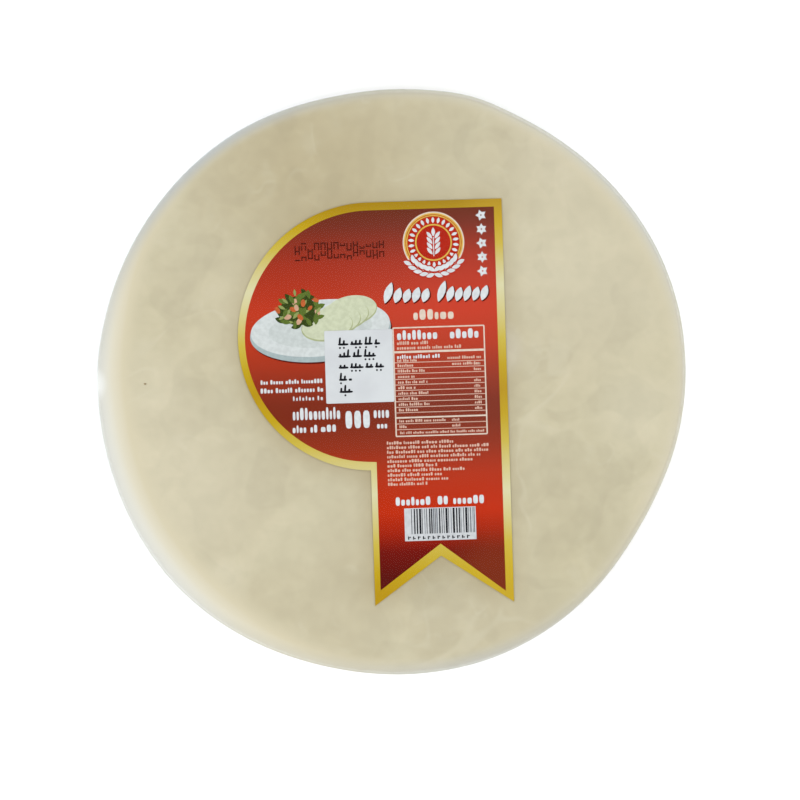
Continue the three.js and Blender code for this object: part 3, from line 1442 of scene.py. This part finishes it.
@dataclass(frozen=True)
class Picture:
    """A plate of round sheets, with a heap of herbs and slices of carrot in it."""

    middle: Pair = (-19.4, 3.2)
    turn: float = 4.0
    plate: tuple[tuple[str, Ink, Pair, Pair], ...] = (  # piece, ink, shift and size
        ("plate_shadow", Ink.SHADE, (0.5, -1.5), (53.6, 22.6)),
        ("plate_edge", Ink.PLATE_EDGE, (0.0, -0.7), (53.6, 23.0)),
        ("plate", Ink.PLATE, (0.0, 0.6), (53.0, 21.4)),
        ("plate_well", Ink.WELL, (0.0, 0.4), (39.5, 14.2)),
    )
    sheets: int = 4
    first_sheet: Pair = (-7.5, 10.4)
    sheet_step: Pair = (-3.1, -1.9)
    sheet_size: Pair = (19.2, 10.6)
    sheet_edge: float = 0.6
    sheet_drop: float = 0.35
    sheet_turn: float = 8.0
    heap_level: float = 9.1
    heap_foot: tuple[Pair, Pair] = ((-27.4, 10.6), (14.4, 11.0))  # its middle and size
    heap_middle: Pair = (-27.4, 11.4)
    heap_reach: Pair = (8.6, 7.2)
    heap_droop: float = 0.02
    heap_crowding: float = 0.6  # a power: below 0.5 they would lie thicker at the rim
    growth: Pair = (0.75, 1.15)  # the least and greatest size of a leaf or slice
    heap: tuple[tuple[str, Ink, Stamp, Pair, int], ...] = (  # piece, ink, stamp, size and count
        ("dark_leaves", Ink.DARK_LEAF, Stamp.GRAIN, (4.6, 2.3), 20),
        ("herb_leaves", Ink.LEAF, Stamp.GRAIN, (4.2, 1.9), 20),
        ("light_leaves", Ink.LIGHT_LEAF, Stamp.GRAIN, (3.2, 1.2), 10),
        ("carrot_slices", Ink.CARROT, Stamp.DISC, (2.6, 1.6), 6),
        ("pale_slices", Ink.PRAWN, Stamp.DISC, (2.6, 1.7), 5),
    )

    def prints(self) -> list[Print]:
        """Sets the plate and its sheets, and then the heap.

        Returns:
            The picture's prints, from the lowest up.
        """
        plate = []
        for level, (name, ink, shift, size) in enumerate(self.plate, 2):
            plate.append(Print(name, ink, level))
            at = (self.middle[0] + shift[0], self.middle[1] + shift[1])
            plate[-1].put(Stamp.ROUND, at, size, self.turn)
        edges = Print("sheet_edges", Ink.SHEET_EDGE, 5.5, rise=0.8)
        sheets = Print("plated_sheets", Ink.SHEET, 5.9, rise=0.8)
        edge_size = tuple(length + self.sheet_edge for length in self.sheet_size)
        for index in range(self.sheets):
            across, up = (a + b * index for a, b in zip(self.first_sheet, self.sheet_step))
            edges.put(Stamp.ROUND, (across, up - self.sheet_drop), edge_size, self.sheet_turn)
            sheets.put(Stamp.ROUND, (across, up), self.sheet_size, self.sheet_turn)
        return [*plate, edges, sheets, *self.herbs()]

    def herbs(self) -> list[Print]:
        """Heaps the leaves and slices, with the dark leaves lowest.

        Returns:
            The heap's prints.
        """
        base = Print("heap_base", Ink.DARK_LEAF, self.heap_level - 0.3)
        base.put(Stamp.ROUND, *self.heap_foot)
        jobs = [Print(name, ink, self.heap_level) for name, ink, *_ in self.heap]
        kinds = [[(job, stamp, size)] * count for job, (*_, stamp, size, count) in zip(jobs, self.heap)]
        upper = sum(kinds[1:], [])
        draw = random.Random(52)
        draw.shuffle(upper)
        for step, (job, stamp, size) in enumerate(kinds[0] + upper):
            bearing = math.radians(GOLDEN_ANGLE * step)
            out = draw.uniform(0.0, 1.0) ** self.heap_crowding
            across = self.heap_reach[0] * out * math.cos(bearing)
            up = self.heap_reach[1] * out * math.sin(bearing) - self.heap_droop * across**2
            at = (self.heap_middle[0] + across, self.heap_middle[1] + up)
            grown = draw.uniform(*self.growth)
            size = (size[0] * grown, size[1] * grown)
            job.put(stamp, at, size, draw.uniform(0, 180), step=step)
        return [base, *jobs]


@dataclass(frozen=True)
class Title:
    """Two words' room of leaning rice grains with their shadow, and a line of type below."""

    words: tuple[tuple[float, float, int], ...] = ((5.0, 22.6, 5), (25.4, 44.8, 6))
    foot: float = 12.4
    first_height: float = 7.8
    heights: Pair = (5.2, 5.7)
    fill: Pair = (1.08, 0.88)  # a grain's length and width, as shares of its height and step
    turn: float = 70.0  # of each grain, in degrees
    shadow: Pair = (0.45, 0.3)  # how much larger it is, and how far to the lower right
    below: TypeLine = TypeLine(16.0, 32.9, 7.7, 3.9, 0.36, 0.66, 0.16, 9)

    def prints(self) -> list[Print]:
        """Sets the title.

        Returns:
            The title's prints, from the lowest up.
        """
        shade = Print("title_shadow", Ink.SHADE, 2)
        white = Print("title_grains", Ink.WHITE, 3)
        for left, right, count in self.words:
            step = (right - left) / count
            for index in range(count):
                tall = self.heights[index % 2] if index else self.first_height
                across, up = left + step * (index + 0.5), self.foot + tall / 2
                for job, grow, shift in ((white, 0.0, 0.0), (shade, *self.shadow)):
                    size = (tall * self.fill[0] + grow, step * self.fill[1] + grow)
                    job.put(Stamp.GRAIN, (across + shift, up - shift), size, self.turn)
        below = Print("subtitle", Ink.CREAM, 2, seed=5)
        below.row(self.below)
        return [shade, white, below]


@dataclass(frozen=True)
class Badge:
    """A round badge with an ear of rice, over two leafy sprays."""

    centre: Pair = (24.5, 34.9)
    discs: tuple[tuple[str, Ink, float], ...] = (  # piece, ink and diameter
        ("badge_edge", Ink.CREAM, 23.4),
        ("badge_gold", Ink.GOLD, 22.4),
        ("badge_line", Ink.RED, 21.3),
        ("badge_inner_gold", Ink.GOLD, 20.8),
        ("badge_red", Ink.RED, 19.9),
        ("badge_ring", Ink.GOLD, 14.0),
        ("badge_middle", Ink.RED, 12.9),
    )
    ring_radius: float = 8.5
    ring_grains: int = 26
    ring_grain: Pair = (2.3, 1.15)
    stem: Pair = (-5.2, 2.0)  # its ends, above the centre
    stem_width: float = 0.35
    ear_pairs: int = 4
    ear_foot: float = -3.2
    ear_step: float = 2.0
    ear_aside: float = 1.5
    ear_splay: float = 38.0
    ear_grain: Pair = (3.3, 1.3)
    ear_tip: float = 4.0
    tip_grain: Pair = (3.4, 1.4)
    leaf_pairs: int = 5
    leaf_bearings: Pair = (7.0, 11.5)  # the first beside the foot, and from one to the next
    leaf_radius: float = 11.3
    leaf_out: float = 1.25
    leaf_splay: float = 26.0
    leaf: Pair = (3.4, 1.6)
    leaf_shadow: Pair = (4.4, 2.6)

    def prints(self) -> list[Print]:
        """Sets the badge.

        Returns:
            The badge's prints.
        """
        discs = []
        for level, (name, ink, across) in enumerate(self.discs, 2):
            discs.append(Print(name, ink, level))
            discs[-1].put(Stamp.ROUND, self.centre, (across, across))
        return [*discs, self.ear(), *self.sprays()]

    def ear(self) -> Print:
        """Sets the ear of rice, in a ring of grains.

        Returns:
            The print.
        """
        middle, centre = self.centre
        ear = Print("rice_ear", Ink.WHITE, 9)
        ear.ring(Stamp.GRAIN, self.centre, self.ring_radius, self.ring_grains, self.ring_grain)
        foot, top = ((middle, centre + end) for end in self.stem)
        ear.line(foot, top, self.stem_width)
        for index in range(self.ear_pairs):
            up = centre + self.ear_foot + self.ear_step * index
            for side in (-1, 1):
                at = (middle + side * self.ear_aside, up)
                ear.put(Stamp.GRAIN, at, self.ear_grain, 90 - side * self.ear_splay)
        ear.put(Stamp.GRAIN, (middle, centre + self.ear_tip), self.tip_grain, 90)
        return ear

    def sprays(self) -> tuple[Print, Print]:
        """Sets the two leafy sprays and the shadow under them.

        Returns:
            The shadow and the leaves.
        """
        under = Print("leaf_shadows", Ink.RED, 10)
        spray = Print("leaf_sprays", Ink.WHITE, 11)
        first, step = self.leaf_bearings
        for side in (-1, 1):
            for index in range(self.leaf_pairs):
                bearing = math.radians(-90 + side * (first + step * index))
                for row in (-1, 1):
                    out = self.leaf_radius + self.leaf_out * row
                    across, up = out * math.cos(bearing), out * math.sin(bearing)
                    at = (self.centre[0] + across, self.centre[1] + up)
                    turn = math.degrees(bearing) + side * (90 - self.leaf_splay * row)
                    spray.put(Stamp.GRAIN, at, self.leaf, turn)
                    under.put(Stamp.GRAIN, at, self.leaf_shadow, turn)
        return under, spray


@dataclass(frozen=True)
class Blossoms:
    """A column of small blossoms beside the badge."""

    top: Pair = (42.8, 44.7)
    step: float = 5.3
    count: int = 5
    radius: float = 1.3
    petal: Pair = (2.1, 1.5)

    def prints(self) -> list[Print]:
        """Sets the blossoms, with five and six petals in turn.

        Returns:
            Their print.
        """
        made = Print("blossoms", Ink.WHITE, 2)
        for index in range(self.count):
            middle = (self.top[0], self.top[1] - self.step * index)
            made.ring(Stamp.DROP, middle, self.radius, 5 + index % 2, self.petal)
        return [made]


@dataclass(frozen=True)
class Table:
    """A framed table: its rules and its lines of type."""

    left: float = 8.1
    right: float = 42.6
    top: float = 2.9
    bottom: float = -38.2
    frame_width: float = 0.5
    thick_rules: tuple[Pair, ...] = ((-6.3, 0.8), (-31.2, 0.6))  # height and width
    rule_width: float = 0.28
    first_rule: float = -10.3
    rule_count: int = 10
    spacing: float = 2.11
    last_rules: Pair = (-33.5, -35.7)
    header: tuple[TypeLine, ...] = (
        TypeLine(9.6, 26.4, 0.1, 3.6, 0.34, 0.56, 0.15, 20),
        TypeLine(29.6, 41.0, 0.1, 3.6, 0.4, 0.56, 0.15, 20),
        TypeLine(9.3, 25.5, -8.1, 1.5, gap=0.2),
    )
    upper: tuple[TypeLine, ...] = (
        TypeLine(9.5, 21.3, -2.9, 1.35),
        TypeLine(9.4, 34.1, -4.7, 1.35),
        TypeLine(9.3, 16.9, -9.5, 1.1),
        TypeLine(28.4, 41.2, -8.9, 1.2),
        TypeLine(30.1, 41.1, -11.2, 1.2),
    )
    entries: int = 9
    first_entry: TypeLine = TypeLine(9.4, 15.5, -11.35, 1.15)
    entry_growth: Pair = (4.7, 9.0)  # how much longer each is, and where that starts again
    first_value: TypeLine = TypeLine(38.3, 41.0, -11.35, 1.1, word=5)
    no_value: int = 2  # the entry that has none
    lower: tuple[TypeLine, ...] = (
        TypeLine(9.4, 27.0, -32.4, 1.1),
        TypeLine(29.4, 32.5, -32.4, 1.1, word=5),
        TypeLine(9.4, 12.5, -34.6, 1.1, word=5),
        TypeLine(29.4, 32.5, -34.6, 1.1, word=5),
        TypeLine(9.6, 41.8, -36.9, 1.0),
    )

    def prints(self) -> list[Print]:
        """Rules the table and sets its type.

        Returns:
            The table's prints.
        """
        border = Print("table_frame", Ink.CREAM, 2)
        left, right, top, bottom = self.left, self.right, self.top, self.bottom
        corners = ((left, top), (right, top), (right, bottom), (left, bottom))
        for start, end in zip(corners, corners[1:] + corners[:1]):
            border.line(start, end, self.frame_width)
        for height, width in self.thick_rules:
            border.line((left, height), (right, height), width)
        rules = Print("table_rules", Ink.FINE, 2)
        heights = [self.first_rule - self.spacing * index for index in range(self.rule_count)]
        for height in (*heights, *self.last_rules):
            rules.line((left, height), (right, height), self.rule_width)
        header = Print("table_header", Ink.WHITE, 2, seed=8)
        header.rows(self.header)
        small = Print("table_type", Ink.FINE, 3, seed=9)
        small.rows(self.upper)
        for index in range(self.entries):
            middle = self.first_entry.middle - self.spacing * index
            end = self.first_entry.right + (index * self.entry_growth[0]) % self.entry_growth[1]
            small.row(self.first_entry._replace(right=end, middle=middle))
            if index != self.no_value:
                small.row(self.first_value._replace(middle=middle))
        small.rows(self.lower)
        return [border, rules, header, small]


@dataclass(frozen=True)
class LooseType:
    """The lines of type round the table and under the picture."""

    small: TypeLine = TypeLine(4.4, 0.0, -40.6, 1.25, 0.35, 0.75, 0.2)  # the first line
    small_step: float = 1.74
    small_ends: tuple[float, ...] = (29.6, 43.2, 43.4, 39.7, 36.7, 23.8, 34.0, 25.0, 27.3, 20.0)
    bold: tuple[TypeLine, ...] = (
        TypeLine(-42.7, -18.4, -16.2, 1.7, wide=0.55),
        TypeLine(-42.8, -18.9, -19.4, 1.9, wide=0.55),
        TypeLine(-30.6, -19.0, -22.7, 1.7, wide=0.6, gap=0.35),
        TypeLine(-30.9, -12.9, -28.6, 4.6, 0.16, 0.3, 0.1, 20),
        TypeLine(-31.1, -21.6, -34.3, 2.9, 0.25, 0.42, 0.14, 4),
        TypeLine(-20.4, -13.4, -34.3, 2.7, 0.5, 0.7, 0.18, 20),
        TypeLine(-0.2, 6.9, -28.9, 4.2, 0.2, 0.36, 0.12, 20),
        TypeLine(0.9, 5.9, -33.8, 2.4, 0.4, 0.6, 0.16, 20),
        TypeLine(7.1, 20.2, -62.9, 3.2, 0.34, 0.56, 0.16, 20),
        TypeLine(23.0, 27.2, -62.9, 3.2, 0.34, 0.56, 0.16, 20),
        TypeLine(28.9, 40.6, -62.9, 3.2, 0.34, 0.56, 0.16, 20),
    )
    large: int = 3
    first_large: Pair = (-9.7, -31.3)
    large_step: float = 3.35
    large_size: Pair = (2.5, 6.6)

    def prints(self) -> list[Print]:
        """Sets the lines, and three large pills between them.

        Returns:
            The small and the bold type.
        """
        fine = Print("small_type", Ink.FINE, 2, seed=12)
        for index, end in enumerate(self.small_ends):
            middle = self.small.middle - self.small_step * index
            fine.row(self.small._replace(right=end, middle=middle))
        bold = Print("bold_type", Ink.WHITE, 2, seed=14)
        bold.rows(self.bold)
        for index in range(self.large):
            at = (self.first_large[0] + self.large_step * index, self.first_large[1])
            bold.put(Stamp.PILL, at, self.large_size)
        return [fine, bold]


@dataclass(frozen=True)
class BarCode:
    """A bar code that stands for nothing: a white box, seeded bars, and dots for figures."""

    left: float = 10.2
    right: float = 37.3
    top: float = -65.6
    bottom: float = -78.05
    bars: Pair = (12.8, 36.6)  # where they start, and where the last one starts at most
    bar_top: float = -65.9
    bar_bottom: float = -75.4
    module: float = 0.25
    grey_share: float = 0.35
    figures: int = 13
    first_figure: Pair = (11.6, -76.9)
    figure_step: float = 1.86
    figure: Pair = (0.5, 1.3)
    dot_shift: Pair = (0.55, 0.3)
    dot_drop: float = 0.5  # of every other dot
    dot: float = 0.55

    def prints(self) -> list[Print]:
        """Sets the bar code.

        Returns:
            Its box, its black bars and its grey ones.
        """
        box = Print("code_box", Ink.BOX, 2)
        middle = ((self.left + self.right) / 2, (self.top + self.bottom) / 2)
        box.put(Stamp.BAR, middle, (self.right - self.left, self.top - self.bottom))
        black = Print("code_bars", Ink.BLACK, 3, seed=21)
        grey = Print("code_guards", Ink.GREY, 3)
        draw, (pen, last) = black.draw, self.bars
        while pen < last:
            width = self.module * draw.choice((1, 1, 2, 2, 3))
            job = grey if draw.random() < self.grey_share else black
            at = (pen + width / 2, (self.bar_top + self.bar_bottom) / 2)
            job.put(Stamp.BAR, at, (width, self.bar_top - self.bar_bottom))
            pen += width + self.module * draw.choice((1, 2, 2, 3))
        for index in range(self.figures):
            across, up = self.first_figure[0] + self.figure_step * index, self.first_figure[1]
            black.put(Stamp.PILL, (across, up), self.figure)
            at = (across + self.dot_shift[0], up + self.dot_shift[1] - self.dot_drop * (index % 2))
            black.put(Stamp.DOT, at, (self.dot, self.dot))
        return [box, black, grey]


@dataclass(frozen=True)
class DateStamp:
    """Two rows of cells of dots, as a needle printer leaves them."""

    rows: Pair = (34.5, 31.1)
    cells: int = 14
    needles: int = 6
    columns: int = 4
    left: float = -28.0
    cell: float = 2.46
    column: float = 0.5
    line: float = 0.58
    dot: Pair = (0.62, 0.56)

    def prints(self) -> list[Print]:
        """Sets in each cell two upright strokes of a drawn height and a bar at a drawn one.

        Returns:
            The stamp's print.
        """
        made = Print("date_stamp", Ink.STAMP, 2, seed=31)
        for middle in self.rows:
            for cell in range(self.cells):
                low, high = sorted(made.draw.sample(range(self.needles), 2))
                cross = made.draw.randrange(self.needles)
                for column in range(self.columns):
                    outer = column in (0, self.columns - 1)
                    across = self.left + self.cell * cell + self.column * column
                    for line in range(self.needles):
                        up = middle + self.line * (line - (self.needles - 1) / 2)
                        if line == cross or (outer and low <= line <= high):
                            made.put(Stamp.DOT, (across, up), self.dot)
        return [made]


@dataclass
class PrintedLabel:
    """The label: a gold edge round a red field, with its print in light inks."""

    place: LabelPlace
    printer: Printer
    edge_width: float = 3.0 * MM
    corner_shifts: tuple[tuple[Pair, float, Pair], ...] = (
        # corners of the field between two u and below a v, in millimetres, and their shift
        ((0.1, 2.1), -40, (-0.75, 0.0)),  # the gold is narrower on the tail's left,
        ((15.0, 33.0), -70, (0.0, 0.9)),  # wider at the notch
        ((40.0, 60.0), -80, (0.0, -1.4)),  # and narrower at the tail's right tip
    )
    round_part: Pair = (49 * MM, 2 * MM)  # the field's round part is within this radius and u
    round_shifts: tuple[Swell, ...] = (Swell(195, 38, 0.38 * MM), Swell(270, 15, -0.25 * MM))
    layer: float = 0.0025 * MM
    parts: tuple = (
        Picture(),
        Title(),
        Badge(),
        Blossoms(),
        Table(),
        LooseType(),
        BarCode(),
        DateStamp(),
    )

    def shifts(self, own: np.ndarray) -> np.ndarray:
        """Works out where the gold edge is wider or narrower than its even width.

        Args:
            own: The field's corners (u, v), one row each.

        Returns:
            How far each corner moves, along u and v.
        """
        u, v = own.T
        moved = np.zeros_like(own)
        for (start, end), below, shift in self.corner_shifts:
            chosen = (u > start * MM) & (u < end * MM) & (v < below * MM)
            moved[chosen] += np.array(shift) * MM
        bearings = np.arctan2(v, u)
        outward = swollen(0.0, self.round_shifts, bearings)
        outward *= (np.hypot(u, v) < self.round_part[0]) & (u < self.round_part[1])
        return moved + outward[:, None] * np.column_stack((np.cos(bearings), np.sin(bearings)))

    def red_field(self) -> Object:
        """Models the red field, set in from the label's outline.

        Returns:
            The field, as a thin plate on the label.
        """
        piece = self.place.top_face("red_field")
        with Bench.editing(piece, "FACE"):
            bpy.ops.mesh.inset(thickness=self.edge_width)
            bpy.ops.mesh.select_all(action="INVERT")
            bpy.ops.mesh.delete(type="FACE")
            bpy.ops.mesh.select_all(action="SELECT")
            move = {"value": (0, 0, self.layer)}
            bpy.ops.mesh.extrude_region_move(TRANSFORM_OT_translate=move)
            bpy.ops.mesh.select_all(action="SELECT")
            bpy.ops.mesh.normals_make_consistent(inside=False)
        points = Bench.points(piece)
        points[:, :2] += self.shifts(self.place.on_label(points)) @ self.place.turning().T
        Bench.move(piece, points)
        return piece

    def build(self) -> None:
        """Prints the label."""
        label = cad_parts["label"]
        label.data.materials.clear()
        label.data.materials.append(GOLD_PRINT.make(self.place))
        dress(self.red_field(), RED_PRINT.make(self.place), "printed_label")
        for part in self.parts:
            for job in part.prints():
                self.printer.press(job, self.place.top, self.layer, "printed_label")


@dataclass
class Sticker:
    """The small white sticker, on the film over the label."""

    place: LabelPlace
    printer: Printer
    mark_layer: float = 0.004 * MM
    corner: float = 0.5 * MM
    left: float = -12.9  # of its lines, in millimetres of the label's frame as the rest below
    lines: tuple[Pair, ...] = (  # the middle and the right end of each
        (-2.1, 3.1),
        (-6.7, 1.8),
        (-10.9, 4.3),
        (-15.5, -8.0),
        (-20.1, -7.0),
    )
    shortest: float = 1.0
    runs: Pair = (2.8, 5.2)
    run_gap: float = 0.6
    stroke: float = 0.85
    stroke_drop: float = 0.6
    stem_heights: tuple[float, ...] = (1.4, 1.9, 3.0)
    stem_width: float = 0.78
    stem_start: float = 0.7
    stem_step: float = 1.5
    stem_drop: float = 0.9
    stem_lean: float = 0.1
    dots: float = 0.4  # how many stems have one below
    dot: float = 0.8
    dot_drop: float = 1.9

    def build(self, material: Material) -> None:
        """Builds the sticker and its print.

        Args:
            material: The sticker's paper.
        """
        own = self.place.on_label(cad_points("sticker"))
        low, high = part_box("sticker")
        marks = Print("sticker_marks", Ink.BLACK, 2, seed=61)
        top = high.z - (marks.level + STAGGER * marks.rise) * self.mark_layer
        middle = self.place.on_pack((own.min(0) + own.max(0))[None] / 2)[0]
        Bench.clear()
        bpy.ops.mesh.primitive_cube_add(size=1, location=(*middle, (low.z + top) / 2))
        plate = bpy.context.object
        plate.scale = (*(own.max(0) - own.min(0)), top - low.z)
        plate.rotation_euler.z = self.place.turn
        plate = Bench.added("white_sticker")
        with Bench.editing(plate, "EDGE") as mesh:
            Bench.pick(mesh.edges, lambda e: abs(e.verts[0].co.z - e.verts[1].co.z) > 0.01 * MM)
            bpy.ops.mesh.bevel(offset=self.corner, segments=4)
        dress(plate, material, "white_sticker", "sticker")
        for line_middle, right in self.lines:
            self.script(marks, right, line_middle)
        self.printer.press(marks, top, self.mark_layer, "white_sticker")

    def script(self, marks: Print, right: float, middle: float) -> None:
        """Sets one line of joined strokes and dots that stands for flowing type.

        Args:
            marks: The print that it goes in.
            right: Where it ends.
            middle: Its height on the label.
        """
        pen = self.left
        while pen < right - self.shortest:
            run = min(marks.draw.uniform(*self.runs), right - pen)
            at = (pen + run / 2, middle - self.stroke_drop)
            marks.put(Stamp.PILL, at, (run, self.stroke))
            for index in range(int(run / self.stem_step)):
                tall = marks.draw.choice(self.stem_heights)
                across = pen + self.stem_start + self.stem_step * index
                at = (across, middle - self.stem_drop + tall / 2)
                marks.put(Stamp.PILL, at, (self.stem_width, tall), lean=self.stem_lean)
                if marks.draw.random() < self.dots:
                    marks.put(Stamp.DOT, (across, middle - self.dot_drop), (self.dot, self.dot))
            pen += run + self.run_gap


# ---- Studio ----


@dataclass
class SoftBox:
    """A square lamp that looks at the pack."""

    name: str
    azimuth: float  # degrees round from +X
    elevation: float  # degrees
    distance: float
    power: float
    colour: tuple[float, float, float]
    size: float = 1.1

    def build(self) -> None:
        """Hangs the lamp."""
        lamp = bpy.data.lights.new(self.name, "AREA")
        lamp.energy, lamp.size, lamp.color = self.power, self.size, self.colour
        holder = Bench.linked(self.name, lamp)
        azimuth, elevation = math.radians(self.azimuth), math.radians(self.elevation)
        out = math.cos(elevation)
        way = Vector((out * math.cos(azimuth), out * math.sin(azimuth), math.sin(elevation)))
        holder.location = way * self.distance
        holder.rotation_euler = way.to_track_quat("Z", "Y").to_euler()


@dataclass
class Studio:
    """The pale floor, the soft light and the camera straight above."""

    view_centre: Pair = (3.6 * MM, -6.9 * MM)
    view_width: float = 305.8 * MM
    view_level: float = 7 * MM
    stand_off: float = 0.9
    sensor: float = 36.0
    world: Colour = (0.96, 0.98, 1.0, 1.0)
    world_strength: float = 0.61
    floor_size: float = 8.0
    floor_gap: float = 0.05 * MM
    lamps: tuple[SoftBox, ...] = (
        SoftBox("key", 205, 42, 1.2, 8.5, (1.0, 0.99, 0.97)),
        SoftBox("right", 345, 45, 1.4, 7.4, (1.0, 0.985, 0.96)),
        SoftBox("front", 275, 50, 1.4, 4.7, (1.0, 1.0, 1.0)),
        SoftBox("back", 80, 42, 1.4, 9.4, (0.95, 0.975, 1.0)),
    )

    def build(self) -> None:
        """Sets up the floor, the light and the camera."""
        Bench.clear()
        bpy.ops.mesh.primitive_plane_add(size=self.floor_size, location=(0, 0, -self.floor_gap))
        floor = Bench.added("floor")
        floor.data.materials.append(StudioFloor().make())
        scene = bpy.context.scene
        scene.view_settings.view_transform = "Standard"
        world = bpy.data.worlds.new("studio")
        world.use_nodes = True
        background = world.node_tree.nodes["Background"]
        background.inputs["Color"].default_value = self.world
        background.inputs["Strength"].default_value = self.world_strength
        scene.world = world
        for lamp in self.lamps:
            lamp.build()
        camera = bpy.data.cameras.new("camera")
        camera.sensor_width = self.sensor
        camera.lens = self.sensor * self.stand_off / self.view_width
        scene.camera = Bench.linked("camera", camera)
        scene.camera.location = (*self.view_centre, self.view_level + self.stand_off)
        log.info("studio: camera of %.1f mm", camera.lens)


def main() -> None:
    """Builds the pack and its studio."""
    logging.basicConfig(level=logging.INFO, format="%(name)s: %(message)s")
    Studio().build()
    place = LabelPlace()
    printer = Printer(place)
    PrintedLabel(place, printer).build()
    Sticker(place, printer).build(StickerPaper().make())
    skin = PackSkin()
    PaperStack(skin, place).build(RicePaper().make())
    BranSpeck(skin).build(Bran().make())
    FilmWrap(skin, place).build(ClearFilm().make())


if __name__ == "__main__":
    main()
